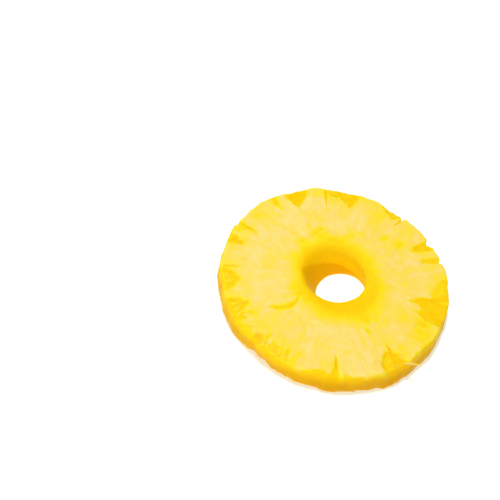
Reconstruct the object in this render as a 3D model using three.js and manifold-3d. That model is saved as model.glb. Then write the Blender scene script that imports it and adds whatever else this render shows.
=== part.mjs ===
// A pineapple ring: one cross slice of a peeled and cored pineapple, lying flat on its lower cut face.
// Millimetres, +Z up. The origin is on the surface the slice lies on, under the middle of the slice.
// Angles are degrees about +Z from +X. The fruitlets, the small fruits that make up a pineapple, stand
// round the rim like the petals of a flower, and where the knife took off an eye between two of them,
// it leaves a sunken patch or a slit in the cut face. The corer went in askew, so the hole leans and
// narrows, and its upper edge is worn wide on the side that the corer leant on.

import * as THREE from "three";
import { mergeVertices } from "three/addons/utils/BufferGeometryUtils.js";
import Module from "manifold-3d";

// Driving dimensions of the slice.
const OUTER_RADIUS = 45;
const THICKNESS = 10;
const HOLE_RADIUS = 11.5; // of the corer, at the upper cut face
const FOOT_HOLE_RADIUS = 10; // where the corer came out, at the lower cut face
const HOLE_TOP = new THREE.Vector2(-1.1, 0.7); // middle of the hole at the upper cut face
const HOLE_FOOT = new THREE.Vector2(4.7, -0.6); // and at the lower one
const TOP_EDGE = 1.0; // roundings between the cut faces and the walls
const FOOT_EDGE = 1.5;
const HOLE_EDGE = 1.0;
const HOLE_FOOT_EDGE = 0.8;
const WALL_BULGE = 0.25; // how far the soft outer wall stands out at half its height

// The side of the hole that the corer leant on: how far its wall flares and its upper edge is pressed
// down there, and how wide the pressed edge is.
const WORN_SIDE = 80;
const FLARE = 1.7;
const DISH = 1.5;
const DISH_WIDTH = 6.5;
const CREASE = 4.5; // height where the flare begins
const FOOT_SPREAD = 1.4; // how far the hole is widened at the lower face, on the same side

// How far the outline wanders from a circle, and how far the upper face swells and sinks.
const FRUITLETS = 13;
const OUT_OF_ROUND = 0.35;
const SCALLOP = 0.2;
const SHAVED = { at: 342, half: 16, depth: 0.9 }; // where the peeling knife cut a little deeper
const STOUT = { at: 314, half: 52, out: 0.75 }; // where the foot of the rim stands out under the upper edge
const UNDERCUT = { at: 249, half: 20, depth: 1.8 }; // and where it lies back
const FACE_SWELL = 0.2;
const FRUITLET_SWELL = 0.16;
const FIBRE_RIDGE = 0.1; // coarse bundles of fibre, three to a fruitlet

// Sunken patches along the rim: middle and half width in degrees, how far each reaches in from the rim,
// how deep it sinks there and how much of the rim is gone, in millimetres.
const PATCHES = [
  { at: 2, half: 11, reach: 11, sink: 0.7, bite: 0.5 },
  { at: 13, half: 13, reach: 7.4, sink: 0.4, bite: 0.2 },
  { at: 36, half: 3, reach: 8.8, sink: 0.5, bite: 0.2 },
  { at: 46.6, half: 4.2, reach: 9.6, sink: 0.6, bite: 0.3 },
  { at: 74, half: 11, reach: 3.6, sink: 0.5, bite: 0.5 },
  { at: 100, half: 8, reach: 8, sink: 0.6, bite: 0.3 },
  { at: 129, half: 9, reach: 9, sink: 0.7, bite: 0.3 },
  { at: 169, half: 3, reach: 9.4, sink: 0.5, bite: 0.2 },
  { at: 179, half: 4.6, reach: 7.2, sink: 0.5, bite: 0.2 },
  { at: 204.8, half: 10, reach: 7.6, sink: 0.6, bite: 0.2 },
  { at: 220.5, half: 7, reach: 8.6, sink: 0.6, bite: 0.2 },
  { at: 247, half: 10, reach: 6.5, sink: 0.5, bite: 0.2 },
  { at: 262, half: 6, reach: 7.5, sink: 0.4, bite: 0.2 },
  { at: 281, half: 9, reach: 3.5, sink: 0.5, bite: 0.3 },
  { at: 318.2, half: 9.5, reach: 9.2, sink: 1.0, bite: 0.6 },
];

// Notches that the knife left in the upper edge of the rim: middle, half width and depth.
const NOTCHES = [
  { at: 35.3, half: 2.4, depth: 0.8 },
  { at: 47.4, half: 3.2, depth: 1.1 },
  { at: 67.5, half: 2, depth: 0.8 },
  { at: 169, half: 2, depth: 0.4 },
  { at: 287, half: 2, depth: 0.4 },
];

// Radial slits, left by the seed chambers: angle, and how far from the axis each starts and ends. The
// one that ends outside the slice is open at the rim.
const SLITS = [
  { at: 9.2, from: 35, to: 41, width: 0.8 },
  { at: 67.5, from: 39.5, to: 48, width: 0.9 },
  { at: 113, from: 36, to: 43, width: 0.9 },
  { at: 287.5, from: 35.5, to: 41.5, width: 0.8 },
  { at: 321.6, from: 34, to: 40, width: 0.8 },
];
const SLIT_DEPTH = 0.8;

// Distances from the axis between which the hole's flare and lean fade out, and between which the relief
// of the upper face and the shape of the rim set in.
const FLARE_FADE = [HOLE_RADIUS, HOLE_RADIUS + 7];
const LEAN_FADE = [HOLE_RADIUS + 2, OUTER_RADIUS - 10];
const RELIEF_RISE = [HOLE_RADIUS + 4, OUTER_RADIUS - 6];
const RIM_RISE = [HOLE_RADIUS + 8, OUTER_RADIUS - TOP_EDGE];

// The mesh: steps round the axis, and distances from it at which the upper face has a row of points.
const AROUND = 216;
const FACE_ROWS = [15.5, 19, 23, 27.5, 32, 36, 39.5, 42];

const degrees = THREE.MathUtils.degToRad;
const lerp = THREE.MathUtils.lerp;
const smooth = THREE.MathUtils.smoothstep;

// Shortest distance from one angle to another, in degrees.
function turn(angle, from) {
  return ((((angle - from) % 360) + 540) % 360) - 180;
}

// 1 in the middle of a bump of this half width, easing to 0 at its ends.
function bump(angle, at, half) {
  const share = Math.abs(turn(angle, at)) / half;
  return share < 1 ? Math.cos((share * Math.PI) / 2) ** 2 : 0;
}

// 1 on the side of the hole that the corer leant on, easing to 0 on the other side.
function worn(angle) {
  return (0.5 + 0.5 * Math.cos(degrees(angle - WORN_SIDE))) ** 2;
}

// How far the rim lies outside OUTER_RADIUS at an angle. What the knife took is mostly off the upper edge.
function rimOffset(angle, height) {
  const t = degrees(angle);
  const oval = OUT_OF_ROUND * (Math.sin(2 * t + 0.6) + 0.5 * Math.sin(3 * t + 0.75));
  const scallops = SCALLOP * Math.sin(FRUITLETS * t + 0.9 * Math.sin(2 * t));
  const bites = PATCHES.reduce((sum, p) => sum + p.bite * bump(angle, p.at, p.half), 0);
  const notches = NOTCHES.reduce((sum, n) => sum + n.depth * bump(angle, n.at, n.half), 0);
  const shaved = SHAVED.depth * Math.exp(-((turn(angle, SHAVED.at) / SHAVED.half) ** 2));
  const upper = lerp(0.25, 1, smooth(height, 0.3 * THICKNESS, THICKNESS));
  const stout = STOUT.out * (1 - smooth(Math.abs(turn(angle, STOUT.at)), STOUT.half - 8, STOUT.half));
  const slanted = stout - UNDERCUT.depth * bump(angle, UNDERCUT.at, UNDERCUT.half);
  return oval + scallops - upper * (bites + notches + shaved) + slanted * (1 - smooth(height, 0, THICKNESS));
}

// How far the upper face lies above THICKNESS at an angle and a distance from the axis.
function faceOffset(angle, radius) {
  const t = degrees(angle);
  const rimward = smooth(radius, ...RELIEF_RISE);
  const waves = FACE_SWELL * Math.sin(4 * t + 1.1 + radius / 9);
  const petals = FRUITLET_SWELL * Math.cos(FRUITLETS * t + 0.9 * Math.sin(2 * t));
  const ridges = FIBRE_RIDGE * Math.cos(3 * FRUITLETS * t + 2 * Math.sin(t) + radius / 12);
  const sunk = PATCHES.map((p) => {
    const inner = OUTER_RADIUS - p.reach;
    const along = smooth(radius, inner, inner + 0.6 * p.reach);
    return p.sink * along * bump(angle, p.at, p.half * (0.35 + 0.65 * along));
  });
  const dished = DISH * worn(angle) * (1 - smooth(radius, HOLE_RADIUS, HOLE_RADIUS + DISH_WIDTH)) ** 2;
  return (waves + petals + ridges) * rimward - Math.max(...sunk) - dished;
}

// A quarter of a rounded edge, as points from one flat to the next.
function edge(centreX, centreY, radius, fromDegrees) {
  return [0, 45, 90].map((step) => {
    const a = degrees(fromDegrees - step);
    return new THREE.Vector2(centreX + radius * Math.cos(a), centreY + radius * Math.sin(a));
  });
}

// The slice's section, as distance from the axis and height, going round it once.
function section() {
  const outline = [
    ...FACE_ROWS.map((r) => new THREE.Vector2(r, THICKNESS)),
    ...edge(OUTER_RADIUS - TOP_EDGE, THICKNESS - TOP_EDGE, TOP_EDGE, 90),
    new THREE.Vector2(OUTER_RADIUS + WALL_BULGE, THICKNESS / 2),
    ...edge(OUTER_RADIUS - FOOT_EDGE, FOOT_EDGE, FOOT_EDGE, 0),
    new THREE.Vector2((OUTER_RADIUS + HOLE_RADIUS) / 2, 0),
    ...edge(FOOT_HOLE_RADIUS + HOLE_FOOT_EDGE, HOLE_FOOT_EDGE, HOLE_FOOT_EDGE, 270),
    new THREE.Vector2(lerp(FOOT_HOLE_RADIUS, HOLE_RADIUS, CREASE / THICKNESS), CREASE),
    ...edge(HOLE_RADIUS + HOLE_EDGE, THICKNESS - HOLE_EDGE, HOLE_EDGE, 180),
  ];
  return [...outline, outline[0].clone()].reverse();
}

// The whole slice with its soft relief. The foot between its rounded edges stays flat, and the wall
// of the hole leans with the corer.
function sliceGeometry() {
  const geometry = new THREE.LatheGeometry(section(), AROUND).rotateX(Math.PI / 2);
  const place = geometry.getAttribute("position");
  for (let i = 0; i < place.count; i++) {
    const radius = Math.hypot(place.getX(i), place.getY(i));
    const height = place.getZ(i);
    const angle = THREE.MathUtils.radToDeg(Math.atan2(place.getY(i), place.getX(i)));
    const upward = smooth(height, 0.4 * THICKNESS, THICKNESS - TOP_EDGE);
    const flared = FLARE * worn(angle) * smooth(height, CREASE, THICKNESS);
    const spread = FOOT_SPREAD * worn(angle) ** 2 * (1 - height / THICKNESS);
    const widened = (flared + spread) * (1 - smooth(radius, ...FLARE_FADE));
    const stretch = 1 + (rimOffset(angle, height) * smooth(radius, ...RIM_RISE) + widened) / radius;
    const middle = HOLE_FOOT.clone().lerp(HOLE_TOP, height / THICKNESS);
    middle.multiplyScalar(1 - smooth(radius, ...LEAN_FADE));
    place.setXYZ(
      i,
      place.getX(i) * stretch + middle.x,
      place.getY(i) * stretch + middle.y,
      height + faceOffset(angle, radius) * upward,
    );
  }
  return geometry;
}

// A leaf-shaped cutter standing in the upper face along a radius.
function slitGeometry({ at, from, to, width }) {
  const middle = (from + to) / 2;
  const leaf = new THREE.Shape();
  leaf.moveTo(from, 0);
  leaf.quadraticCurveTo(middle, width, to, 0);
  leaf.quadraticCurveTo(middle, -width, from, 0);
  return new THREE.ExtrudeGeometry(leaf, { depth: 2 * SLIT_DEPTH, bevelEnabled: false, curveSegments: 6 })
    .translate(0, 0, THICKNESS - SLIT_DEPTH)
    .rotateZ(degrees(at));
}

const wasm = await Module();
wasm.setup();

function solidOf(geometry) {
  geometry.deleteAttribute("normal");
  geometry.deleteAttribute("uv");
  const merged = mergeVertices(geometry, 1e-4);
  return new wasm.Manifold(
    new wasm.Mesh({
      numProp: 3,
      vertProperties: Float32Array.from(merged.getAttribute("position").array),
      triVerts: Uint32Array.from(merged.index.array),
    }),
  );
}

function geometryOf(solid) {
  const mesh = solid.getMesh();
  const geometry = new THREE.BufferGeometry();
  geometry.setAttribute("position", new THREE.BufferAttribute(mesh.vertProperties, 3));
  geometry.setIndex(new THREE.BufferAttribute(mesh.triVerts, 1));
  geometry.computeVertexNormals();
  return geometry;
}

const slit = SLITS.map((s) => solidOf(slitGeometry(s)));
const flesh = slit.reduce((solid, cutter) => solid.subtract(cutter), solidOf(sliceGeometry()));

const fleshFinish = new THREE.MeshStandardMaterial({
  name: "pineapple_flesh",
  color: 0xfddc4c,
  roughness: 0.35,
  metalness: 0,
});

const ring = new THREE.Mesh(geometryOf(flesh), fleshFinish);
ring.name = "pineapple_ring";

const part = new THREE.Group();
part.name = "pineapple_ring_part";
part.add(ring);

export default part;
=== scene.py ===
"""Models one cored slice of pineapple: its flesh with the cut fibres, the shreds at its rim and a studio."""

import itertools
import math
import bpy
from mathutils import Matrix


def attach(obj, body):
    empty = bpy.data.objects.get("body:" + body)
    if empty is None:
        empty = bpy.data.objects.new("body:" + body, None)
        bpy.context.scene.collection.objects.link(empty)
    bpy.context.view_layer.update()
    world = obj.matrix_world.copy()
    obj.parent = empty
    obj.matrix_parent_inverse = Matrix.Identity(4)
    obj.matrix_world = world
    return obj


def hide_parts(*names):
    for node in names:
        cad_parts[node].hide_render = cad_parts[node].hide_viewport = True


bl_info = {
    "name": "Pineapple Ring",
    "version": (1, 0, 0),
    "blender": (4, 5, 0),
    "location": "View3D > Sidebar > Pineapple Ring",
    "description": "Builds a cored pineapple slice with cut fibres, juice and stray shreds",
    "category": "Object",
}

from collections import namedtuple

import bpy
import numpy as np
from bpy.props import FloatProperty, FloatVectorProperty, IntProperty, PointerProperty
from mathutils import Matrix, Vector

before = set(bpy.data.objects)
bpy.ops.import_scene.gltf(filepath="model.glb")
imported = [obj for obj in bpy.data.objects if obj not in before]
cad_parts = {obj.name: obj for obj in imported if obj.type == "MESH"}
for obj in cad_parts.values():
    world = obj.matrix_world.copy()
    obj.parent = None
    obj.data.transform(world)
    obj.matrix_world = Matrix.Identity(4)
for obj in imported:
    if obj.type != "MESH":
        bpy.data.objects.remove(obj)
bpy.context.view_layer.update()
NODE = "pineapple_ring"
MM = 0.001  # metres in a millimetre

# ---------------------------------------------------------------------------------------------------------
# Driving dimensions of the slice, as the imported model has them. Lengths are millimetres here and in all
# the shapes below, and angles are degrees about +Z from +X.

OUTER_RADIUS = 45
THICKNESS = 10
HOLE_RADIUS = 11.66  # of the corer, at the upper cut face
FOOT_HOLE_RADIUS = 10  # where the corer came out, at the lower cut face
HOLE_TOP = (-1.1, 0.67)  # middle of the hole at the upper cut face
HOLE_FOOT = (4.66, -0.65)  # and at the lower one
BORE_INSET = 0.2  # how far the wall of the hole stands in from the corer's radius
TOP_EDGE = 1.0  # roundings between the cut faces and the walls
FOOT_EDGE = 1.5
HOLE_EDGE = 1.0
HOLE_FOOT_EDGE = 0.8
WALL_BULGE = 0.25  # how far the soft outer wall stands out at half its height

# The side of the hole that the corer leant on: how far its wall flares and its upper edge is pressed down
# there, and how far in each reaches. At the lower face the hole is widened on nearly the same side.
WORN_SIDE = 80
FLARE, FLARE_WIDTH = 1.7, 7
DISH, DISH_WIDTH = 1.5, 6.5
SPREAD_SIDE = 70
FOOT_SPREAD = 1.4
CREASE_AT, CREASE_HEIGHT = 62, 2.0  # the crease in the hole's wall stands this high here and climbs on
CREASE_PRESS = 0.35  # how far the wall stands back above the crease

# The outline, and how high the relief of the upper face stands or how deep it lies: the fruitlets' petals,
# long waves and swells, pads of pulp, ridges of fibre, crumbs, fibres askew, the seam and the soft spots.
FRUITLETS = 13
OUT_OF_ROUND = 0.35
SCALLOP = 0.2
PETAL_RISE = 0.16
WAVE_RISE, SWELL_RISE = 0.2, 0.22
PAD_RISE, PULP_RISE = 0.13, 0.07
BUNDLE_RISE, FIBRE_RISE = 0.1, 0.08
CRUMB_RISE, FEATHER_RISE = 0.4, 0.3
SEAM_DEPTH, SPOT_DEPTH = 0.25, 0.15

# ---------------------------------------------------------------------------------------------------------
# What the fruit looks like round the slice.

# Golden, glassy flesh that hangs in from the rim between two fruitlets: its middle and half width at the
# rim, how far it reaches in, how many degrees its tip leans, how blunt it ends, how golden it is, then how
# far it sinks and how much of the rim it takes.
Gap = namedtuple("Gap", "at half reach lean blunt full sink bite")
GAPS = (
    Gap(2.0, 7.4, 10.8, 1, 6.0, 1.0, 0.5, 0.5),
    Gap(12.6, 2.8, 15.4, -8.2, 7.0, 0.95, 0.3, 0.1),
    Gap(-2.6, 3.6, 11.2, 0, 4.0, 0.95, 0.3, 0.1),
    Gap(13, 9.5, 7.4, 1, 3.0, 0.75, 0.2, 0.2),
    Gap(34.9, 2.0, 8.8, 3.0, 5.0, 0.92, 0.3, 0.2),
    Gap(46.6, 2.8, 9.6, -0.6, 5.0, 0.95, 0.4, 0.3),
    Gap(74, 7.5, 3.6, -2, 1.6, 0.9, 0.4, 0.5),
    Gap(100, 6, 8, -2, 2.5, 0.9, 0.5, 0.3),
    Gap(108, 5, 5, 0, 2.0, 0.7, 0.4, 0.2),
    Gap(129, 7, 9, 3, 2.5, 1.0, 0.6, 0.3),
    Gap(143, 2, 8, 0, 3.0, 0.8, 0.4, 0.2),
    Gap(169, 1.9, 9.4, 0.5, 3.0, 0.8, 0.3, 0.2),
    Gap(172.6, 1.3, 5.5, 0, 3.0, 0.6, 0.3, 0.1),
    Gap(179, 3.2, 7.2, 1, 2.5, 1.0, 0.3, 0.2),
    Gap(205.6, 6.9, 7.6, -0.6, 2.4, 0.8, 0.4, 0.2),
    Gap(221, 4.6, 8.6, 1.6, 3.0, 0.95, 0.4, 0.2),
    Gap(228.8, 2.1, 9.8, 0, 2.0, 0.85, 0.2, 0.1),
    Gap(237, 7, 3.4, 0, 2.0, 0.7, 0.2, 0.1),
    Gap(244, 3.4, 5.2, 0, 2.5, 1.0, 0.3, 0.2),
    Gap(247, 1.7, 8.0, 0, 2.0, 0.68, 0.2, 0.1),
    Gap(252, 11, 5.6, 0, 2.5, 0.76, 0.4, 0.2),
    Gap(256.2, 1.4, 8.0, 0, 2.0, 0.75, 0.2, 0.1),
    Gap(259.6, 1.4, 7.6, 0.5, 2.0, 0.8, 0.2, 0.1),
    Gap(265.2, 1.5, 7.8, 0.6, 4.0, 0.66, 0.2, 0.1),
    Gap(280, 8.5, 2.8, 1, 2.0, 0.95, 0.3, 0.2),
    Gap(285, 3.0, 4.2, 1, 2.0, 0.95, 0.3, 0.3),
    Gap(286.6, 1.3, 8.8, 0.4, 1.8, 0.95, 0.3, 0.1),
    Gap(293, 9, 1.1, 0, 4.0, 0.8, 0.2, 0.1),
    Gap(318.4, 6.8, 8.4, 0.2, 5.0, 1.0, 0.9, 0.6),
    Gap(321.8, 1.6, 9.5, -0.4, 2.0, 0.85, 0.3, 0.1),
    Gap(338, 9, 1.5, 0, 2.0, 0.5, 0.2, 0.4),
)

# Slits of the seed chambers, cut open: angle, where each starts and ends, and its width and depth.
Slit = namedtuple("Slit", "at start end width depth")
SLITS = (
    Slit(9.2, 35, 41, 0.7, 0.4),
    Slit(67.5, 39.5, 50, 0.7, 0.7),
    Slit(113, 36, 43.5, 0.8, 0.4),
    Slit(168.1, 36.6, 43.8, 0.5, 0.4),
    Slit(197.6, 37.6, 43.8, 0.45, 0.35),
    Slit(287.3, 36, 41.5, 0.6, 0.5),
    Slit(321.6, 34.2, 39, 0.8, 0.5),
)

# Soft glassy spots in the pale flesh: angle, distance from the axis, half width round and across, strength.
Spot = namedtuple("Spot", "at radius round across strength")
SPOTS = (
    Spot(54.8, 32.3, 2.3, 2.8, 0.62),
    Spot(64.8, 29.9, 2.1, 2.7, 0.62),
    Spot(55, 38.6, 2.2, 2.4, 0.42),
    Spot(77.5, 34, 1.2, 2.2, 0.25),
    Spot(18.5, 37.5, 1.6, 2.4, 0.4),
    Spot(358, 32.6, 1.6, 1.6, 0.4),
    Spot(10, 23.2, 1.8, 1.6, 0.35),
    Spot(90, 21.8, 1.6, 1.8, 0.5),
    Spot(107.5, 18, 2.4, 1.6, 0.5),
    Spot(117.5, 20.8, 2.0, 1.3, 0.6),
    Spot(121.5, 23.2, 2.2, 1.5, 0.85),
    Spot(124.5, 19.6, 2.2, 1.7, 0.6),
    Spot(128, 21.8, 2.6, 1.7, 0.8),
    Spot(132, 25.2, 0.8, 1.9, 0.6),
    Spot(148.5, 19.8, 1.8, 1.5, 0.5),
    Spot(175, 38.9, 1.3, 2.0, 0.35),
    Spot(224.2, 18.1, 1.4, 1.6, 0.5),
    Spot(233.9, 17.1, 1.2, 2.2, 0.7),
    Spot(237.8, 29.3, 1.2, 1.2, 0.4),
    Spot(246, 33, 4.5, 5.0, 0.3),
    Spot(230.5, 37.4, 1.8, 2.4, 0.45),
    Spot(245, 37.6, 2.2, 2.2, 0.4),
    Spot(244.5, 25.8, 1.6, 1.8, 0.35),
    Spot(250.5, 36.4, 3.4, 2.6, 0.4),
    Spot(255, 36.3, 1.5, 1.8, 0.4),
    Spot(258.5, 37.4, 1.2, 1.8, 0.35),
    Spot(266, 25.3, 1.6, 1.6, 0.25),
    Spot(262, 29, 1.0, 6.0, 0.25),
    Spot(307.6, 30.4, 1.0, 3.0, 0.45),
    Spot(307, 25.8, 1.2, 1.4, 0.35),
    Spot(309, 23.8, 1.6, 1.6, 0.4),
    Spot(315.4, 26.4, 1.1, 2.4, 0.85),
    Spot(320.4, 22.4, 2.6, 2.2, 0.66),
    Spot(329, 23.9, 1.9, 1.8, 0.55),
    Spot(329, 41.8, 2.0, 1.8, 0.35),
    Spot(334, 22.5, 1.6, 1.6, 0.25),
    Spot(323.5, 39.4, 1.4, 1.8, 0.5),
    Spot(332.5, 26.8, 2.2, 2.2, 0.42),
    Spot(345.5, 39.3, 2.0, 2.6, 0.5),
    Spot(351.2, 38.6, 2.2, 2.8, 0.66),
    Spot(346.5, 28, 2.0, 2.3, 0.15),
)

# Dry, pale flesh in the fans of the fruitlets, given in the same way.
DRY = (
    Spot(17, 24.5, 4.0, 3.0, 0.25),
    Spot(28, 42.6, 2.2, 2.0, 0.3),
    Spot(57, 23, 3.0, 2.4, 0.25),
    Spot(79, 27.5, 4.0, 2.6, 0.3),
    Spot(179, 27.9, 3.0, 2.5, 0.2),
    Spot(191, 40.0, 2.6, 3.2, 0.5),
    Spot(212.5, 39.5, 1.4, 3.0, 0.35),
    Spot(278, 36.2, 2.0, 3.0, 0.2),
    Spot(286.8, 33.2, 1.6, 2.6, 0.22),
    Spot(309, 38.9, 1.2, 2.0, 0.3),
    Spot(332, 36.5, 1.8, 2.4, 0.25),
    Spot(346, 26.4, 2.4, 2.2, 0.25),
    Spot(347.5, 34.2, 1.8, 2.0, 0.22),
)

# Pale fibrous crumbs left standing in the golden flesh, given in the same way.
CRUMBS = (
    Spot(203, 42.8, 0.8, 0.7, 0.7),
    Spot(207, 42.6, 0.4, 1.4, 0.8),
    Spot(221, 42.8, 0.5, 1.0, 0.9),
    Spot(224.5, 42.6, 0.5, 1.2, 0.9),
    Spot(233, 42.8, 0.4, 1.2, 0.8),
    Spot(237.5, 42.3, 0.8, 0.5, 0.9),
    Spot(247, 42.7, 0.8, 0.6, 0.9),
    Spot(249.2, 42.5, 0.8, 0.7, 0.7),
    Spot(252, 42.4, 0.6, 0.9, 0.45),
    Spot(255.9, 40.9, 0.8, 0.7, 0.95),
    Spot(259.4, 42.6, 0.7, 0.8, 0.8),
    Spot(262.5, 42.4, 0.8, 1.0, 0.5),
    Spot(270, 43.6, 1.6, 1.2, 0.85),
    Spot(289.8, 42.6, 0.6, 2.4, 1.0),
    Spot(317.2, 40.8, 0.9, 0.8, 0.7),
    Spot(314, 38.6, 0.7, 0.6, 0.45),
    Spot(318.5, 39.0, 0.5, 1.4, 0.45),
)

# Curved seam where two fruitlets' flesh grew against each other: points as angle, distance and half width.
SEAM = (
    (230.6, 30.4, 0.5),
    (233.4, 28.8, 1.2),
    (236.6, 26.6, 1.6),
    (239.4, 24.0, 1.7),
    (240.4, 21.9, 1.4),
    (240.0, 20.2, 1.0),
    (238.6, 19.0, 0.7),
)

# Single fibres that the knife pulled out: where each starts and ends, as angle and distance, how far its
# middle stands up, and its thickness.
Thread = namedtuple("Thread", "at radius to_at to_radius rise width")
THREADS = (
    Thread(323.2, 42.9, 329.8, 48.0, 0.7, 0.60),
    Thread(323.8, 43.0, 328.8, 46.4, 0.5, 0.34),
    Thread(317.5, 41.4, 319.8, 43.6, 0.5, 0.24),
    Thread(311.6, 38.6, 313.0, 40.8, 0.4, 0.24),
    Thread(309.6, 37.4, 307.8, 40.8, 0.15, 0.22),
    Thread(239.0, 41.2, 243.2, 43.2, 0.4, 0.28),
    Thread(246.4, 42.6, 250.6, 41.2, 0.4, 0.26),
    Thread(252.8, 40.2, 255.0, 43.4, 0.4, 0.30),
    Thread(258.6, 42.8, 261.8, 40.8, 0.4, 0.26),
    Thread(221.4, 41.2, 225.0, 43.4, 0.4, 0.28),
    Thread(203.0, 41.4, 206.0, 43.2, 0.4, 0.26),
    Thread(303.4, 36.0, 304.8, 40.6, 0.12, 0.22),
    Thread(300.6, 37.6, 301.0, 41.6, 0.12, 0.22),
)
THREAD_STEPS, THREAD_SIDES = 11, 6
THREAD_SWAY = 0.35

# Where the knife left the rim in a notch: angle, half width and depth.
NOTCHES = ((35.3, 1.8, 0.8), (47.4, 3.0, 1.1), (67.5, 1.6, 0.8), (287, 1.6, 0.4), (169, 1.5, 0.4))

# Stretches of the slice that ease out on both sides: middle, half width and amount.
Stretch = namedtuple("Stretch", "at half amount")
SHAVED = (Stretch(342, 16, 0.9),)  # the knife took more off the rim's upper edge
STOUT = Stretch(314, 52, 0.75)  # the foot of the rim stands out under its upper edge
# Shorter stretches where the foot stands out still more or, below 0, lies back.
FOOT_SWELLS = (Stretch(319, 7, 0.5), Stretch(249, 10, -1.8), Stretch(277, 6, -0.5))
# Where the pale fans of the fruitlets begin nearer the core or, below 0, farther out.
FAN_SHIFTS = (Stretch(285, 36, -2.2), Stretch(48, 44, 3.0), Stretch(222, 26, 1.2))
FRAYED = (Stretch(309, 20, 1.0),)  # the knife combed the fibres out most
# Where the flesh at the rim is drier and paler.
DRY_RIMS = (Stretch(302, 9, 0.42), Stretch(275, 9, 0.3), Stretch(309, 20, 0.16))
SHADED_RIM = (Stretch(334, 24, 0.6),)  # painted shade: on this side, away from the light, the pale colour of the face stops short of the wall

# Stretches of the rim whose foot crinkled as it was cut, and those where fine fibres stand askew, with how
# many: the angles where each begins, is full, begins to fade and ends.
CRINKLED = ((230, 238, 262, 268), (296, 302, 322, 328))
FEATHERED = (((204, 216, 262, 268), 1.0), ((309, 313, 322, 328), 0.7))
FEATHER_BAND = (37.5, 40.5, 43.4, 44.6)  # the same four as distances from the axis
FEATHER_ROOT = 44  # the distance from which the fine fibres lean over

LIT_SIDE = 40  # where the wall of the hole is palest: painted light on the side the light falls on
SHADED_SIDE = 320  # where the foot of the rim is painted darkest: painted shade on the side away from the light


def linear(code):
    """The linear RGB of an sRGB hex colour."""
    parts = [int(code[i : i + 2], 16) / 255 for i in (1, 3, 5)]
    return [c / 12.92 if c <= 0.04045 else ((c + 0.055) / 1.055) ** 2.4 for c in parts]


# ---------------------------------------------------------------------------------------------------------
# Fields over the slice. th and r are arrays of degrees and millimetres that broadcast together.


def smooth(x, low, high):
    """0 below low and 1 above high, with an even ease between them."""
    t = np.clip((x - low) / (high - low), 0.0, 1.0)
    return t * t * (3 - 2 * t)


def window(x, start, full, fade, end):
    """1 from full to fade, easing to 0 at start and at end."""
    return smooth(x, start, full) * (1 - smooth(x, fade, end))


def turn(th, at):
    """How many degrees th lies past at, the short way."""
    return (th - at + 180.0) % 360.0 - 180.0


def facing(th, at):
    """1 on this side of the slice, easing to 0 on the opposite one."""
    return 0.5 + 0.5 * np.cos(np.radians(th - at))


def hills(th, stretches):
    """What these stretches add up to, each easing out on both sides of its middle."""
    return sum(s.amount * np.exp(-((turn(th, s.at) / s.half) ** 2)) for s in stretches)


def fruitlet_turn(a):
    """The angle that goes once round for each fruitlet. They aren't all as wide."""
    return FRUITLETS * a + 0.9 * np.sin(2 * a)


def lumps(x, y, z, seed):
    """Smooth noise from -1 to 1 whose lumps are 1 across."""
    table = np.random.default_rng(seed).uniform(-1.0, 1.0, (64, 64, 64))
    place = np.stack(np.broadcast_arrays(x, y, z), axis=-1)
    cell = np.floor(place).astype(int)
    part = place - cell
    part = part * part * (3 - 2 * part)
    total = 0.0
    for corner in itertools.product((0, 1), repeat=3):
        near = (cell + corner) % 64
        share = np.prod(np.where(corner, part, 1 - part), axis=-1)
        total = total + share * table[near[..., 0], near[..., 1], near[..., 2]]
    return total


def blotches(x, y, across, layer, seed):
    """Noise over the cut face whose lumps are this far across, from one layer of it."""
    return lumps(x / across, y / across, layer, seed)


def strands(th, run, count, length, seed):
    """Noise drawn out into this many strands round the slice, each about this long."""
    spread = count / math.tau
    a = np.radians(th)
    return lumps(np.cos(a) * spread, np.sin(a) * spread, run / length + 7.0, seed)


def gap_field(th, r, soft, ragged, outer):
    """How golden the gaps make the flesh, with an edge this soft and this ragged."""
    a = np.radians(th)
    x, y = r * np.cos(a), r * np.sin(a)
    teeth = 0.8 * strands(th, r, 120, 14, seed=11) + 0.5 * strands(th, r, 330, 9, seed=12)
    frayed = 0.9 * blotches(x, y, 2.6, 1.7, seed=13) + 0.5 * blotches(x, y, 1.1, 4.9, seed=14)
    depth = np.maximum(outer - r + ragged * teeth, 0.0)
    field = np.zeros(np.broadcast(th, r).shape)
    for gap in GAPS:
        share = depth / gap.reach
        half = gap.half * (1 - share**gap.blunt)
        off = np.abs(turn(th, gap.at + gap.lean * share))
        inside = np.radians(half - off) * r + ragged * frayed
        field = np.maximum(field, gap.full * smooth(inside, -soft, soft))
    return field * (0.9 + 0.16 * blotches(x, y, 1.8, 7.7, seed=15))


def slit_field(th, r, soft, weighted):
    """1 in the slits and 0 outside them, or each slit's own depth in millimetres."""
    field = np.zeros(np.broadcast(th, r).shape)
    wander = 0.35 * strands(th, r, 60, 5, seed=21)
    for slit in SLITS:
        middle = (slit.start + slit.end) / 2
        along = np.clip(np.abs(r - middle) / (slit.end - middle), 0.0, 1.0)
        half = slit.width / 2 * np.sqrt(1 - along**2)
        off = np.abs(np.radians(turn(th, slit.at)) * r + wander)
        inside = smooth(half - off, -soft, soft) * (along < 1)
        field = np.maximum(field, inside * (slit.depth if weighted else 1.0))
    return field


def spot_field(th, r, spots):
    """How far the soft spots change the flesh."""
    field = np.zeros(np.broadcast(th, r).shape)
    for spot in spots:
        off = np.radians(turn(th, spot.at)) * r / spot.round
        across = (r - spot.radius) / spot.across
        field = np.maximum(field, spot.strength * np.exp(-(off**2 + across**2)))
    return field


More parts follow.
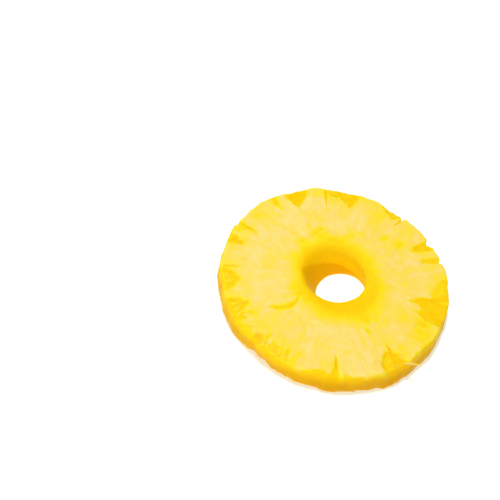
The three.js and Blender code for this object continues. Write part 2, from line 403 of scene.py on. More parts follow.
def seam_field(th, r):
    """1 along the curved seam, easing to 0 at one and a half times its half width."""
    a = np.radians(th)
    x, y = r * np.cos(a), r * np.sin(a)
    points = [(d * math.cos(math.radians(t)), d * math.sin(math.radians(t)), half) for t, d, half in SEAM]
    field = np.zeros(np.broadcast(th, r).shape)
    for (ax, ay, a_half), (bx, by, b_half) in zip(points, points[1:]):
        ux, uy = bx - ax, by - ay
        share = np.clip(((x - ax) * ux + (y - ay) * uy) / (ux * ux + uy * uy), 0.0, 1.0)
        away = np.hypot(x - ax - share * ux, y - ay - share * uy)
        field = np.maximum(field, 1 - smooth(away / (a_half + (b_half - a_half) * share), 0.0, 1.5))
    return field


def feather_field(th, r):
    """Fine pale fibres that the knife left standing askew in the golden flesh."""
    inward = FEATHER_ROOT - r
    leaning = smooth(strands(th + 0.9 * inward, r, 210, 5, seed=22), 0.25, 0.6)
    crossing = smooth(strands(th - 0.8 * inward, r, 190, 4, seed=24), 0.35, 0.7)
    fine = np.maximum(leaning, crossing) * smooth(strands(th, r, 90, 3, seed=23), -0.3, 0.3)
    many = sum(share * window(th, *span) for span, share in FEATHERED)
    return fine * many * window(r, *FEATHER_BAND)


def rim_offset(th, z, size):
    """How far the rim lies outside the slice's nominal radius."""
    a = np.radians(th)
    top = size["thick"]
    oval = OUT_OF_ROUND * (np.sin(2 * a + 0.6) + 0.5 * np.sin(3 * a + 0.75))
    scallops = SCALLOP * np.sin(fruitlet_turn(a))
    knife = 0.2 * strands(th, z, 46, 16, seed=31) + 0.14 * strands(th, z, 150, 9, seed=32)
    bites = sum(g.bite * (1 - smooth(np.abs(turn(th, g.at)), 0.0, 1.2 * g.half)) for g in GAPS)
    notches = sum(deep * (1 - smooth(np.abs(turn(th, at)), 0.2 * half, half)) for at, half, deep in NOTCHES)
    taken = (bites + notches + hills(th, SHAVED)) * (0.25 + 0.75 * smooth(z, 0.3 * top, top))
    stout = STOUT.amount * (1 - smooth(np.abs(turn(th, STOUT.at)), STOUT.half - 8, STOUT.half))
    bent = sum(window(th, *span) for span in CRINKLED)
    crinkled = 0.5 * bent * strands(th, z, 130, 12, seed=33)
    slanted = (stout + hills(th, FOOT_SWELLS) + crinkled) * smooth(z, top, 0.0)
    return oval + scallops + knife - taken + slanted


def face_relief(th, r, size):
    """How far the upper cut face lies above the slice's nominal thickness."""
    a = np.radians(th)
    x, y = r * np.cos(a), r * np.sin(a)
    outer, hole = size["outer"], size["hole"]
    rimward = smooth(r, hole + 4, outer - 6)

    petals = PETAL_RISE * np.cos(fruitlet_turn(a))
    waves = WAVE_RISE * np.sin(4 * a + 1.1 + r / 9) + SWELL_RISE * blotches(x, y, 9, 3.3, seed=41)
    pads = PAD_RISE * blotches(x, y, 3.2, 5.1, seed=42) + PULP_RISE * blotches(x, y, 1.3, 2.9, seed=48)
    swells = (petals + waves) * rimward + pads * smooth(r, 15, 20)

    gaps = gap_field(th, r, 0.9, 0.8, outer)
    combed = 0.3 + 0.7 * smooth(blotches(x, y, 9, 8.7, seed=45), -0.1, 0.7) + 0.5 * hills(th, FRAYED)
    coarse = BUNDLE_RISE * strands(th, r, 120, 16, seed=43) * rimward
    fine = FIBRE_RISE * strands(th, r, 290, 10, seed=44) * smooth(r, 20, 34)
    ridges = (coarse + fine) * combed * (1 - 0.6 * gaps)

    sink = sum(g.sink * (1 - smooth(np.abs(turn(th, g.at)), 0.5 * g.half, 1.5 * g.half)) for g in GAPS)
    sink = np.clip(sink, 0.3, 1.1) * gaps * smooth(r, outer - 14, outer - 3)
    cuts = slit_field(th, r, 0.4, True) + SEAM_DEPTH * seam_field(th, r)
    cuts = cuts + SPOT_DEPTH * spot_field(th, r, SPOTS)
    raised = CRUMB_RISE * spot_field(th, r, CRUMBS) + FEATHER_RISE * feather_field(th, r)
    edge = hole - 0.5
    dished = DISH * worn(th) * (1 - smooth(r, edge, edge + DISH_WIDTH)) ** 2
    return swells + ridges + raised - sink - cuts - dished


def pale_field(th, r, size):
    """1 in the palest, most fibrous flesh of the fruitlets and 0 in the golden, glassy flesh."""
    a = np.radians(th)
    x, y = r * np.cos(a), r * np.sin(a)

    shift = 1.2 * strands(th, r, 16, 60, seed=51) + 0.9 * strands(th, r, 70, 40, seed=52)
    shift = shift + 2.0 * np.cos(a - math.radians(198)) + hills(th, FAN_SHIFTS)
    fans = np.maximum(smooth(r + shift, 12.6, 24.2), 0.3 * facing(th, 65))

    wx = x + 1.5 * blotches(x, y, 4, 1.1, seed=46)
    wy = y + 1.5 * blotches(x, y, 4, 6.1, seed=47)
    clouds = 0.24 * blotches(wx, wy, 6.5, 2.2, seed=54) + 0.22 * blotches(wx, wy, 2.8, 4.4, seed=55)
    clouds = clouds + 0.1 * blotches(wx, wy, 1.2, 9.4, seed=59)
    combed = 0.2 + 0.6 * smooth(blotches(x, y, 8, 5.5, seed=60), -0.2, 0.5) + 0.4 * hills(th, FRAYED)
    streaks = (0.16 * strands(th, r, 62, 13, seed=56) + 0.14 * strands(th, r, 170, 8, seed=57)) * combed
    sides = 0.05 * np.cos(a - math.radians(195)) + 0.06 * strands(th, r, 9, 40, seed=53)
    tone = 0.86 + sides + clouds + streaks * smooth(r, 17, 30)
    tone = tone + (hills(th, DRY_RIMS) - 0.2) * smooth(r, 34, 43) + spot_field(th, r, DRY)
    tone = tone - 0.25 * smooth(strands(th, r, 40, 9, seed=58), 0.4, 0.9) * smooth(r, 20, 26)

    gaps = gap_field(th, r, 0.9, 1.0, size["outer"])
    slits = 0.85 * slit_field(th, r, 0.4, False)
    clear = (1 - gaps) * (1 - slits) * (1 - spot_field(th, r, SPOTS)) * (1 - 0.86 * seam_field(th, r))
    crumbs = 0.9 * np.maximum(spot_field(th, r, CRUMBS), feather_field(th, r))
    return np.clip(np.maximum(fans * np.clip(tone, 0.0, 1.05) * clear, crumbs), 0.0, 1.0)


def worn(th):
    """1 where the corer leant on the upper edge of the hole, easing to 0 on the other side."""
    return facing(th, WORN_SIDE) ** 2


def crease_height(th):
    """How high on the core hole's wall the flesh that the corer pressed out begins; the wall below it is
    painted in shade.
    """
    past = turn(th, CREASE_AT + 60) + 60  # runs from -120 to 240
    climb = np.minimum(CREASE_HEIGHT + 0.043 * past + 0.00017 * past**2, 10.0)
    return climb * window(past, -60, -15, 130, 225)


def surface(th, r0, z0, size):
    """Where the points of the plain section end up, in millimetres, as x, y and z."""
    top, outer, hole = size["thick"], size["outer"], size["hole"]
    a = np.radians(th)
    rise = z0 / top

    # The outer wall carries the knife's streaks and tears, and the slits open into it.
    wall = smooth(r0, outer - 1.6, outer - 0.2)
    opened = slit_field(th, np.full_like(r0, outer - 1.0), 0.4, True) * smooth(z0, top - 6.0, top - 1.5)
    streaked = 0.2 * strands(th, z0, 150, 5, seed=61)
    streaked = streaked + 0.16 * lumps(outer * np.cos(a) / 3, outer * np.sin(a) / 3, z0 / 3, seed=62)
    torn = 0.5 * smooth(strands(th, z0, 75, 9, seed=63), 0.25, 0.8) * smooth(z0, 3.2, 0.6)
    r = r0 + (streaked - 0.7 * opened - torn) * wall
    r = r + rim_offset(th, z0, size) * smooth(r0, hole + 8, outer - 1.3)

    # The hole's wall is pressed back above its crease, spread at its foot and flared where it is worn.
    core = 1 - smooth(r0, hole + 0.9, hole + 2.5)
    crease = np.minimum(crease_height(th), 9.0)
    pressed = CREASE_PRESS * smooth(z0, crease - 0.5, crease + 0.5)
    spread = FOOT_SPREAD * facing(th, SPREAD_SIDE) ** 5 * (1 - rise)
    uneven = 0.08 * strands(th, z0, 60, 12, seed=64) + 0.1 * strands(th, z0, 16, 9, seed=65)
    flare = FLARE * worn(th) * smooth(z0, crease, top + 1.0)
    r = r + core * (pressed + spread + uneven) + flare * (1 - smooth(r0, hole, hole + FLARE_WIDTH))

    # The hole leans, and the flesh beside it goes along.
    near = 1 - smooth(r0, hole + 2, outer - 10)
    x = r * np.cos(a) + near * (size["hole_foot"][0] * (1 - rise) + size["hole_top"][0] * rise)
    y = r * np.sin(a) + near * (size["hole_foot"][1] * (1 - rise) + size["hole_top"][1] * rise)
    z = z0 + face_relief(th, r0, size) * smooth(z0, 0.4 * top, top - 1.3)
    return x, y, z


def flesh_fields(th, r0, z0, size):
    """How pale, deep and wet the flesh is at the points of the plain section, and how much painted shade it
    has.
    """
    top, outer, hole = size["thick"], size["outer"], size["hole"]
    down = top - z0
    on_wall = smooth(r0, outer - 1.0, outer - 0.1)
    in_core = 1 - smooth(r0, hole + 0.2, hole + 1.9)
    # The crease also marks where painted shade begins: below it the hole's wall is painted as lying in shade.
    crease = crease_height(th) + 0.25 * strands(th, z0, 40, 20, seed=73)
    upper_core = in_core * smooth(z0, crease - 0.35, crease + 0.35)
    shaded_lower_core = in_core - upper_core
    lit_share = facing(th, LIT_SIDE)

    # The pale colour of the face runs a little way down the outer wall.
    bleed = smooth(z0 + 0.9 * strands(th, z0, 110, 8, seed=71), top - 2.6, top - 0.6)
    # Painted shade: on the side away from the light the pale colour stops short of the wall's upper edge,
    # which stays darker golden.
    bleed = bleed * (0.75 - hills(th, SHADED_RIM))
    pale = pale_field(th, r0, size) * (1 - on_wall * (1 - bleed)) * (1 - in_core)
    # Painted light: the hole's upper wall is paler towards its top edge and on the side the light falls on.
    pale = np.maximum(pale, upper_core * (0.02 + 0.16 * smooth(z0, 6.0, top) * lit_share))

    # The outer wall deepens in colour towards its foot, as do the slits and the hole's lower wall: partly the
    # flesh's own deeper colour and partly painted shade.
    low_wall = on_wall * (0.2 + 0.8 * smooth(down + 0.8 * strands(th, z0, 60, 9, seed=74), 0.6, 4.5))
    deep = np.maximum.reduce([0.4 * slit_field(th, r0, 0.3, False), 0.1 * shaded_lower_core, low_wall])

    juicy = np.maximum(gap_field(th, r0, 0.9, 1.0, outer), feather_field(th, r0)) * (1 - on_wall)
    wet = 0.15 + 0.85 * juicy * smooth(strands(th, r0, 50, 9, seed=72), -0.6, 0.5)

    # Painted shade: the outer wall darkens towards its foot, most on the side away from the light, and the
    # hole's lower wall and the unlit side of its upper wall darken too.
    in_shade = on_wall * (0.5 + 0.5 * facing(th, SHADED_SIDE))
    foot = in_shade * smooth(down + 1.2 * strands(th, z0, 70, 8, seed=75), 1.5, 6.8)
    foot = np.maximum(foot, 0.67 * shaded_lower_core + 0.28 * upper_core * (1 - lit_share))
    return {"pale": pale, "deep": deep, "wet": wet, "foot": foot}


# ---------------------------------------------------------------------------------------------------------
# Building blocks


def arc(centre_r, centre_z, radius, start, count):
    """Points of a rounded edge that turns a quarter clockwise from start degrees, its ends left out."""
    a = np.radians(start - 90 * (np.arange(count) + 0.5) / count)
    return np.stack([centre_r + radius * np.cos(a), centre_z + radius * np.sin(a)], axis=1)


def straight(r0, z0, r1, z1, count, ease=1.0):
    """Points from one end of a line to the other, closer to its far end where ease is under 1."""
    share = np.linspace(0.0, 1.0, count) ** ease
    return np.stack([r0 + (r1 - r0) * share, z0 + (z1 - z0) * share], axis=1)


def section(size):
    """The slice's section, as distance from the axis and height, going once round it."""
    top, outer, foot_hole = size["thick"], size["outer"], size["foot_hole"]
    bore = size["hole"] - BORE_INSET
    wall = straight(outer, top - TOP_EDGE, outer, FOOT_EDGE, 13)
    wall[:, 0] += WALL_BULGE * np.sin(np.linspace(0.0, math.pi, len(wall)))
    rows = (
        straight(bore + HOLE_EDGE, top, outer - TOP_EDGE, top, 46, 0.85),
        arc(outer - TOP_EDGE, top - TOP_EDGE, TOP_EDGE, 90, 5),
        wall,
        arc(outer - FOOT_EDGE, FOOT_EDGE, FOOT_EDGE, 0, 4),
        straight(outer - FOOT_EDGE, 0.0, foot_hole + HOLE_FOOT_EDGE, 0.0, 9),
        arc(foot_hole + HOLE_FOOT_EDGE, HOLE_FOOT_EDGE, HOLE_FOOT_EDGE, 270, 3),
        straight(foot_hole, HOLE_FOOT_EDGE, bore, top - HOLE_EDGE, 20),
        arc(bore + HOLE_EDGE, top - HOLE_EDGE, HOLE_EDGE, 180, 4),
    )
    return np.concatenate(rows)


def torus_mesh(name, points, fields):
    """A closed mesh from a grid of points in millimetres that wraps both ways, with these number fields."""
    around, across = points.shape[:2]
    index = np.arange(around * across).reshape(around, across)
    right, down = np.roll(index, -1, axis=0), np.roll(index, -1, axis=1)
    both = np.roll(right, -1, axis=1)
    quads = np.stack([index, down, both, right], axis=-1).reshape(-1, 4)
    mesh = bpy.data.meshes.new(name)
    mesh.from_pydata((points.reshape(-1, 3) * MM).tolist(), [], quads.tolist())
    mesh.polygons.foreach_set("use_smooth", np.ones(len(quads), dtype=bool))
    for key, values in fields.items():
        stored = mesh.attributes.new(key, "FLOAT", "POINT")
        stored.data.foreach_set("value", np.ascontiguousarray(values, dtype=np.float32).ravel())
    mesh.validate()
    mesh.update()
    return mesh


def thread_path(thread, dice, size):
    """The line that a loose fibre follows over the cut face, in millimetres."""
    share = np.linspace(0.0, 1.0, THREAD_STEPS)
    th = thread.at + (thread.to_at - thread.at) * share
    r = thread.radius + (thread.to_radius - thread.radius) * share
    sway = dice.uniform(-THREAD_SWAY, THREAD_SWAY) * np.sin(share * math.pi * dice.uniform(1.0, 2.0))
    a = np.radians(th) + sway / r
    bed = size["thick"] + face_relief(th, np.minimum(r, size["outer"] - 1.0), size)
    return np.stack([r * np.cos(a), r * np.sin(a), bed + thread.rise * np.sin(share * 2.4)], axis=-1)


def thread_tube(path, width):
    """Points and faces of one closed fibre along a path in millimetres, thin at its ends."""
    steps, sides = len(path), THREAD_SIDES
    along = np.gradient(path, axis=0)
    along /= np.linalg.norm(along, axis=1, keepdims=True)
    side = np.cross(along, (0.0, 0.0, 1.0))
    side /= np.linalg.norm(side, axis=1, keepdims=True)
    lift = np.cross(side, along)
    thick = width / 2 * (0.2 + 0.8 * np.sin(np.linspace(0.15, 0.92, steps) * math.pi))[:, None, None]
    a = np.arange(sides) * math.tau / sides
    ring = side[:, None] * np.cos(a)[:, None] + lift[:, None] * np.sin(a)[:, None]
    points = (path[:, None] + ring * thick).reshape(-1, 3)
    faces = [tuple(range(sides))[::-1], tuple(range((steps - 1) * sides, steps * sides))]
    for step, k in itertools.product(range(steps - 1), range(sides)):
        this, after = step * sides + k, step * sides + (k + 1) % sides
        faces.append((this, after, after + sides, this + sides))
    return points, faces


def add(tree, kind, inputs=None, **settings):
    """Adds a node of this kind with its settings. An input's value is a number, a colour or a socket."""
    made = tree.nodes.new(kind)
    for key, value in settings.items():
        setattr(made, key, value)
    for key, value in (inputs or {}).items():
        if isinstance(value, bpy.types.NodeSocket):
            tree.links.new(value, made.inputs[key])
        else:
            made.inputs[key].default_value = value
    return made


MIX_A, MIX_B, MIX_OUT = 6, 7, 2  # the colour sockets of a Mix node


def new_material(name):
    """An empty node material and its tree."""
    material = bpy.data.materials.new(name)
    material.use_nodes = True
    material.node_tree.nodes.clear()
    return material, material.node_tree


def link_object(name, data):
    """Puts new data into the scene as an object of this name."""
    made = bpy.data.objects.new(name, data)
    bpy.context.scene.collection.objects.link(made)
    return made


# ---------------------------------------------------------------------------------------------------------
# Settings


class SliceSettings(bpy.types.PropertyGroup):
    """Sizes of the slice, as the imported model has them."""

    outer_radius: FloatProperty(
        name="Outer radius",
        description="Radius of the trimmed slice",
        default=OUTER_RADIUS * MM,
        unit="LENGTH",
    )
    thickness: FloatProperty(
        name="Thickness", description="Height of the upper cut face", default=THICKNESS * MM, unit="LENGTH"
    )
    hole_radius: FloatProperty(
        name="Hole radius", description="Radius of the corer", default=HOLE_RADIUS * MM, unit="LENGTH"
    )
    foot_hole_radius: FloatProperty(
        name="Lower hole radius",
        description="Radius where the corer came out",
        default=FOOT_HOLE_RADIUS * MM,
        unit="LENGTH",
    )
    hole_top: FloatVectorProperty(
        name="Upper hole centre",
        description="From the slice's middle to the hole's upper end",
        default=[c * MM for c in HOLE_TOP],
        size=2,
        unit="LENGTH",
    )
    hole_foot: FloatVectorProperty(
        name="Lower hole centre",
        description="From the slice's middle to the hole's lower end",
        default=[c * MM for c in HOLE_FOOT],
        size=2,
        unit="LENGTH",
    )
    around: IntProperty(name="Steps", description="Steps round the slice", default=920, min=90)


class FleshSettings(bpy.types.PropertyGroup):
    """Colours of the ripe flesh, from the palest fibres to the wall of the core hole, and its painted shade.
    """

    straw: FloatVectorProperty(
        name="Fibres", description="Palest bundles of fibre", subtype="COLOR", default=linear("#FBDC86")
    )
    pale: FloatVectorProperty(
        name="Fruitlets", description="Fibrous flesh", subtype="COLOR", default=linear("#FAD966")
    )
    lemon: FloatVectorProperty(
        name="Thin flesh", description="Flesh half soaked", subtype="COLOR", default=linear("#F5DC20")
    )
    golden: FloatVectorProperty(
        name="Glassy flesh",
        description="Flesh between the fruitlets",
        subtype="COLOR",
        default=linear("#FAC802"),
    )
    # Partly the flesh's own deeper colour and partly painted shade, in the slits and low on the walls.
    ripe: FloatVectorProperty(
        name="Deep flesh", description="Slits and the core's wall", subtype="COLOR", default=linear("#F0BC02")
    )
    # Painted shade, at the lower edge of the outer wall and on the lower wall of the hole.
    shade_amber: FloatVectorProperty(
        name="Foot", description="Juicy lower edge of the wall", subtype="COLOR", default=linear("#E0A202")
    )


class StudioSettings(bpy.types.PropertyGroup):
    """The floor, the light and the camera."""

    floor: FloatVectorProperty(
        name="Floor", description="Light table under the slice", subtype="COLOR", default=linear("#F6F6F6")
    )
    fill: FloatProperty(name="Fill", description="Strength of the light from all round", default=0.4, min=0.0)
    key: FloatProperty(name="Key", description="Power of the high lamp", default=2.1, min=0.0, unit="POWER")
    front: FloatProperty(
        name="Front", description="Power of the low lamp", default=0.68, min=0.0, unit="POWER"
    )
    glint: FloatProperty(
        name="Glint", description="Power of the small lamp", default=0.2, min=0.0, unit="POWER"
    )
    distance: FloatProperty(
        name="Camera distance", description="From the slice's upper face", default=400 * MM, unit="LENGTH"
    )
    elevation: FloatProperty(
        name="Elevation", description="Camera above the horizon", default=math.radians(53.3), subtype="ANGLE"
    )
    roll: FloatProperty(
        name="Roll", description="Camera turned about its view", default=math.radians(-20.7), subtype="ANGLE"
    )
    lens: FloatProperty(name="Lens", description="Focal length in millimetres", default=73.9, min=10.0)


def slice_sizes(scene):
    """The slice's sizes in millimetres."""
    s = scene.pineapple_slice
    return {
        "outer": s.outer_radius / MM,
        "thick": s.thickness / MM,
        "hole": s.hole_radius / MM,
        "foot_hole": s.foot_hole_radius / MM,
        "hole_top": np.array(s.hole_top) / MM,
        "hole_foot": np.array(s.hole_foot) / MM,
    }


# ---------------------------------------------------------------------------------------------------------
# Materials. Their patterns' sizes are in millimetres. Single fibres are about half as wide in the fruit,
# too fine to show, so they are drawn coarser. So is the tooth of the sanded acrylic.

BUNDLE_WIDTH, BUNDLE_LENGTH = 2.2, 14
FIBRE_WIDTH, FIBRE_LENGTH = 0.55, 7
FIBRE_SWAY, FIBRE_SWAY_LENGTH = 1.6, 9
PULP_GRAIN = 0.7
SOAKED_BLOT = 2.6
JUICE_BEAD = 1.1
THREAD_MOTTLE = 1.5
SANDED_TOOTH = 0.6


def flesh_material(colours, size):
    """Fresh pineapple flesh, cut with a knife: a tangle of pale fibres that scatters light, soaked in juice,
    and glassy golden flesh between the fruitlets. The eye sees soft depth, radial streaks and wet glints."""
    material, tree = new_material("cut_pineapple_flesh")
    place = add(tree, "ShaderNodeTexCoord").outputs["Object"]
    flat = add(tree, "ShaderNodeVectorMath", {0: place, 1: (1.0, 1.0, 0.0)}, operation="MULTIPLY").outputs[0]
    unit = add(tree, "ShaderNodeVectorMath", {0: flat}, operation="NORMALIZE").outputs[0]
    radius = add(tree, "ShaderNodeVectorMath", {0: flat}, operation="LENGTH").outputs["Value"]
    height = add(tree, "ShaderNodeSeparateXYZ", {0: place}).outputs["Z"]
    run = add(tree, "ShaderNodeMath", {0: radius, 1: height}, operation="SUBTRACT").outputs[0]
    bend = add(
        tree, "ShaderNodeTexNoise", {"Vector": place, "Scale": 1 / (FIBRE_SWAY_LENGTH * MM), "Detail": 1.0}
    ).outputs["Color"]

    def grain(width, length, seed, detail):
        """Noise in strands of this width at the rim and this length, both in millimetres."""
        wide = add(
            tree, "ShaderNodeVectorMath", {0: unit, "Scale": size["outer"] / width}, operation="SCALE"
        ).outputs[0]
        along = add(
            tree, "ShaderNodeMath", {0: run, 1: 1 / (length * MM), 2: float(seed)}, operation="MULTIPLY_ADD"
        ).outputs[0]
        lift = add(tree, "ShaderNodeCombineXYZ", {"Z": along}).outputs[0]
        sway = add(
            tree, "ShaderNodeVectorMath", {0: bend, "Scale": FIBRE_SWAY / width}, operation="SCALE"
        ).outputs[0]
        base = add(tree, "ShaderNodeVectorMath", {0: wide, 1: lift}, operation="ADD").outputs[0]
        coords = add(tree, "ShaderNodeVectorMath", {0: base, 1: sway}, operation="ADD").outputs[0]
        return add(
            tree, "ShaderNodeTexNoise", {"Vector": coords, "Scale": 1.0, "Detail": detail, "Roughness": 0.55}
        ).outputs[0]

    bundles = grain(BUNDLE_WIDTH, BUNDLE_LENGTH, 3, 2.0)
    fibres = grain(FIBRE_WIDTH, FIBRE_LENGTH, 17, 3.0)
    pulp = add(
        tree, "ShaderNodeTexNoise", {"Vector": place, "Scale": 1 / (PULP_GRAIN * MM), "Detail": 2.0}
    ).outputs[0]
    soaked = add(
        tree,
        "ShaderNodeTexNoise",
        {"Vector": place, "Scale": 1 / (SOAKED_BLOT * MM), "Detail": 3.0, "Distortion": 0.8},
    ).outputs[0]
    beads = add(
        tree, "ShaderNodeTexNoise", {"Vector": place, "Scale": 1 / (JUICE_BEAD * MM), "Detail": 1.0}
    ).outputs[0]
    pale = add(tree, "ShaderNodeAttribute", attribute_name="pale").outputs["Fac"]
    deep = add(tree, "ShaderNodeAttribute", attribute_name="deep").outputs["Fac"]
    wet = add(tree, "ShaderNodeAttribute", attribute_name="wet").outputs["Fac"]
    # Painted shade, at the foot of the outer wall and in the hole.
    foot = add(tree, "ShaderNodeAttribute", attribute_name="foot").outputs["Fac"]

    streaky = {"From Min": 0.3, "From Max": 0.7, "To Min": 0.9, "To Max": 1.07}
    blotted = {"From Min": 0.35, "From Max": 0.65, "To Min": 0.88, "To Max": 1.08}
    streaks = add(tree, "ShaderNodeMapRange", {"Value": fibres, **streaky}).outputs[0]
    strips = add(tree, "ShaderNodeMapRange", {"Value": bundles, **streaky}).outputs[0]
    blots = add(tree, "ShaderNodeMapRange", {"Value": soaked, **blotted}).outputs[0]
    tone = add(tree, "ShaderNodeMath", {0: streaks, 1: strips}, operation="MULTIPLY").outputs[0]
    tone = add(tree, "ShaderNodeMath", {0: tone, 1: blots}, operation="MULTIPLY").outputs[0]
    share = add(tree, "ShaderNodeMath", {0: pale, 1: tone}, operation="MULTIPLY", use_clamp=True).outputs[0]
    ramp = add(tree, "ShaderNodeValToRGB", {0: share})
    stops = ((0.0, colours.golden), (0.38, colours.lemon), (0.78, colours.pale), (1.0, colours.straw))
    for _ in stops[2:]:
        ramp.color_ramp.elements.new(0.5)
    for element, (position, colour) in zip(ramp.color_ramp.elements, stops):
        element.position = position
        element.color = (*colour, 1.0)
    flesh = ramp.outputs[0]
    # Deeper golden where the flesh is deep, partly painted shade, then painted shade at the wall's foot and
    # in the hole.
    for amount, colour in ((deep, colours.ripe), (foot, colours.shade_amber)):
        flesh = add(
            tree, "ShaderNodeMix", {0: amount, MIX_A: flesh, MIX_B: (*colour, 1.0)}, data_type="RGBA"
        ).outputs[MIX_OUT]

    glossy = {"From Min": 0.0, "From Max": 1.0, "To Min": 0.5, "To Max": 0.22}
    filmed = {"From Min": 0.52, "From Max": 0.64, "To Min": 0.0, "To Max": 0.8}
    rough = add(tree, "ShaderNodeMapRange", {"Value": wet, **glossy}).outputs[0]
    rough = add(tree, "ShaderNodeMath", {0: pulp, 1: 0.16, 2: rough}, operation="MULTIPLY_ADD").outputs[0]
    relief = add(tree, "ShaderNodeMath", {0: fibres, 1: 0.7, 2: pulp}, operation="MULTIPLY_ADD").outputs[0]
    bump = add(
        tree, "ShaderNodeBump", {"Height": relief, "Strength": 0.55, "Distance": 0.25 * MM}
    ).outputs[0]
    film = add(tree, "ShaderNodeMapRange", {"Value": beads, **filmed}).outputs[0]
    film = add(tree, "ShaderNodeMath", {0: film, 1: wet}, operation="MULTIPLY", use_clamp=True).outputs[0]
    drops = add(
        tree, "ShaderNodeBump", {"Height": beads, "Strength": 0.8, "Distance": 0.35 * MM, "Normal": bump}
    ).outputs[0]
    shader = add(
        tree,
        "ShaderNodeBsdfPrincipled",
        {
            "Base Color": flesh,
            "Roughness": rough,
            "IOR": 1.36,
            "Normal": bump,
            "Subsurface Weight": 0.85,
            "Subsurface Radius": (1.0, 0.5, 0.12),
            "Subsurface Scale": 4.0 * MM,
            "Specular IOR Level": 0.1,
            "Specular Tint": (*linear("#FFEF95"), 1.0),
            "Coat Weight": film,
            "Coat Roughness": 0.14,
            "Coat IOR": 1.34,
            "Coat Normal": drops,
        },
    ).outputs[0]
    add(tree, "ShaderNodeOutputMaterial", {"Surface": shader})
    return material


def fibre_material(colours):
    """Loose fibre pulled out by the knife: thin, wet and nearly clear, so it looks pale and a bit shiny."""
    material, tree = new_material("pulled_pineapple_fibre")
    place = add(tree, "ShaderNodeTexCoord").outputs["Object"]
    mottle = add(
        tree, "ShaderNodeTexNoise", {"Vector": place, "Scale": 1 / (THREAD_MOTTLE * MM), "Detail": 2.0}
    ).outputs[0]
    colour = add(
        tree,
        "ShaderNodeMix",
        {0: mottle, MIX_A: (*colours.golden, 1.0), MIX_B: (*colours.straw, 1.0)},
        data_type="RGBA",
    ).outputs[MIX_OUT]
    rough = add(tree, "ShaderNodeMapRange", {"Value": mottle, "To Min": 0.2, "To Max": 0.45}).outputs[0]
    bump = add(tree, "ShaderNodeBump", {"Height": mottle, "Strength": 0.3, "Distance": 0.05 * MM}).outputs[0]
    shader = add(
        tree,
        "ShaderNodeBsdfPrincipled",
        {
            "Base Color": colour,
            "Roughness": rough,
            "IOR": 1.36,
            "Normal": bump,
            "Subsurface Weight": 0.3,
            "Subsurface Radius": (1.0, 0.6, 0.2),
            "Subsurface Scale": 0.8 * MM,
        },
    ).outputs[0]
    add(tree, "ShaderNodeOutputMaterial", {"Surface": shader})
    return material


def acrylic_material(colour):
    """Matt opal acrylic of a light table, cast and sanded: it glows evenly, so shadows on it stay faint."""
    material, tree = new_material("lit_opal_acrylic")
    place = add(tree, "ShaderNodeTexCoord").outputs["Object"]
    tooth = add(
        tree, "ShaderNodeTexNoise", {"Vector": place, "Scale": 1 / (SANDED_TOOTH * MM), "Detail": 2.0}
    ).outputs[0]
    bump = add(tree, "ShaderNodeBump", {"Height": tooth, "Strength": 0.05, "Distance": 0.03 * MM}).outputs[0]
    shader = add(
        tree,
        "ShaderNodeBsdfPrincipled",
        {
            "Base Color": (*colour, 1.0),
            "Roughness": 0.9,
            "Specular IOR Level": 0.1,
            "Normal": bump,
            "Emission Color": (*linear("#F1FFF1"), 1.0),
            "Emission Strength": 0.33,
        },
    ).outputs[0]
    add(tree, "ShaderNodeOutputMaterial", {"Surface": shader})
    return material


# ---------------------------------------------------------------------------------------------------------
# Studio. Its lengths are metres.

Lamp = namedtuple("Lamp", "name width turned raised")
LAMPS = (Lamp("key", 0.07, 182, 79), Lamp("front", 0.15, 266, 32), Lamp("glint", 0.03, 110, 50))
LAMP_DISTANCE = 0.6
FLOOR_HALF = 3.0
FILL_COLOUR = linear("#FFFDF1")
RENDER_WIDTH = 500.0  # pixels
SLICE_AT = (336.1, 277.6)  # the pixel where the middle of the slice's upper face stands
SENSOR_WIDTH = 36.0  # millimetres, as the lens is


def add_lamp(lamp, power, target):
    """Hangs a square lamp round the slice, at its degrees round from +X and above the horizon."""
    a, b = math.radians(lamp.turned), math.radians(lamp.raised)
    towards = Vector((math.cos(a) * math.cos(b), math.sin(a) * math.cos(b), math.sin(b)))
    light = bpy.data.lights.new(lamp.name, "AREA")
    light.energy, light.size = power, lamp.width
    placed = link_object(lamp.name, light)
    placed.location = target + towards * LAMP_DISTANCE
    placed.rotation_euler = towards.to_track_quat("Z", "Y").to_euler()


def camera_place(studio, target):
    """The camera's matrix. It looks past the slice, which stands right of and below the middle."""
    focal = studio.lens / SENSOR_WIDTH * RENDER_WIDTH
    middle = RENDER_WIDTH / 2
    sight = Vector(((SLICE_AT[0] - middle) / focal, (middle - SLICE_AT[1]) / focal, -1.0)).normalized()
    up = Vector((math.sin(-studio.roll), math.cos(studio.roll), 0.0))
    up = (up + sight * up.dot(-sight)).normalized()
    right = up.cross(-sight)
    s, c = math.sin(studio.elevation), math.cos(studio.elevation)
    axes = Matrix((right, c * sight + s * up, c * up - s * sight))
    return Matrix.Translation(target - axes @ (sight * studio.distance)) @ axes.to_4x4()


# ---------------------------------------------------------------------------------------------------------
# Operators


class PINEAPPLE_OT_flesh(bpy.types.Operator):
    """Build the slice's flesh, with the relief of the cut faces and the walls"""

    bl_idname = "pineapple.flesh"
    bl_label = "Flesh"

    def execute(self, context):
        size = slice_sizes(context.scene)
        outline = section(size)
        around = context.scene.pineapple_slice.around
        grid = (around, len(outline))
        th = np.broadcast_to((np.arange(around) * 360.0 / around)[:, None], grid)
        r0, z0 = np.broadcast_to(outline[:, 0], grid), np.broadcast_to(outline[:, 1], grid)
        points = np.stack(surface(th, r0, z0, size), axis=-1)
        mesh = torus_mesh("slice_flesh", points, flesh_fields(th, r0, z0, size))
        mesh.materials.append(flesh_material(context.scene.pineapple_flesh, size))
        flesh = link_object("slice_flesh", mesh)
        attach(flesh, "root")
        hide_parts(NODE)
        return {"FINISHED"}


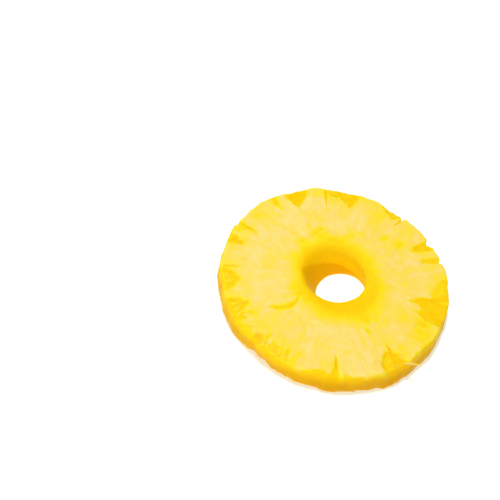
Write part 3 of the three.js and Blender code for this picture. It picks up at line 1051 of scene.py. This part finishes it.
class PINEAPPLE_OT_fibres(bpy.types.Operator):
    """Pull the loose fibres out of the cut face and the rim"""

    bl_idname = "pineapple.fibres"
    bl_label = "Fibres"

    def execute(self, context):
        size = slice_sizes(context.scene)
        dice = np.random.default_rng(81)
        points, faces = [], []
        for thread in THREADS:
            start = sum(len(p) for p in points)
            tube, sides = thread_tube(thread_path(thread, dice, size), thread.width)
            points.append(tube)
            faces += [tuple(start + k for k in side) for side in sides]
        mesh = bpy.data.meshes.new("pulled_fibres")
        mesh.from_pydata((np.concatenate(points) * MM).tolist(), [], faces)
        mesh.polygons.foreach_set("use_smooth", np.ones(len(faces), dtype=bool))
        mesh.materials.append(fibre_material(context.scene.pineapple_flesh))
        mesh.validate()
        fibres = link_object("pulled_fibres", mesh)
        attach(fibres, "root")
        return {"FINISHED"}


class PINEAPPLE_OT_studio(bpy.types.Operator):
    """Lay the light table and set up the lamps and the camera"""

    bl_idname = "pineapple.studio"
    bl_label = "Studio"

    def execute(self, context):
        scene = context.scene
        studio = scene.pineapple_studio
        scene.view_settings.view_transform = "Standard"
        scene.cycles.use_denoising = True

        mesh = bpy.data.meshes.new("floor")
        corners = [(x * FLOOR_HALF, y * FLOOR_HALF, 0.0) for x, y in ((-1, -1), (1, -1), (1, 1), (-1, 1))]
        mesh.from_pydata(corners, [], [(0, 1, 2, 3)])
        mesh.materials.append(acrylic_material(studio.floor))
        link_object("floor", mesh)

        world = bpy.data.worlds.new("studio_fill")
        world.use_nodes = True
        world.node_tree.nodes["Background"].inputs["Strength"].default_value = studio.fill
        world.node_tree.nodes["Background"].inputs["Color"].default_value = (*FILL_COLOUR, 1.0)
        scene.world = world

        target = Vector((0.0, 0.0, scene.pineapple_slice.thickness))
        for lamp in LAMPS:
            add_lamp(lamp, getattr(studio, lamp.name), target)

        camera = link_object("camera", bpy.data.cameras.new("camera"))
        camera.data.lens = studio.lens
        camera.data.clip_start, camera.data.clip_end = 0.01, 20.0
        camera.matrix_world = camera_place(studio, target)
        scene.camera = camera
        return {"FINISHED"}


class PINEAPPLE_PT_panel(bpy.types.Panel):
    """Lists the steps that build the slice and their settings"""

    bl_idname = "PINEAPPLE_PT_panel"
    bl_label = "Pineapple Ring"
    bl_space_type = "VIEW_3D"
    bl_region_type = "UI"
    bl_category = "Pineapple Ring"

    def draw(self, context):
        for step in STEPS:
            self.layout.operator(step.bl_idname)
        for group in SETTINGS:
            settings = getattr(context.scene, group)
            for key in settings.bl_rna.properties.keys():
                if key not in {"rna_type", "name"}:
                    self.layout.prop(settings, key)


STEPS = (PINEAPPLE_OT_flesh, PINEAPPLE_OT_fibres, PINEAPPLE_OT_studio)
SETTINGS = {
    "pineapple_slice": SliceSettings,
    "pineapple_flesh": FleshSettings,
    "pineapple_studio": StudioSettings,
}


def register():
    for made in (*SETTINGS.values(), *STEPS, PINEAPPLE_PT_panel):
        bpy.utils.register_class(made)
    for name, made in SETTINGS.items():
        setattr(bpy.types.Scene, name, PointerProperty(type=made))


def unregister():
    for name in SETTINGS:
        delattr(bpy.types.Scene, name)
    for made in (PINEAPPLE_PT_panel, *STEPS, *SETTINGS.values()):
        bpy.utils.unregister_class(made)


def main():
    register()
    for step in STEPS:
        group, name = step.bl_idname.split(".")
        getattr(getattr(bpy.ops, group), name)()


if __name__ == "__main__":
    main()
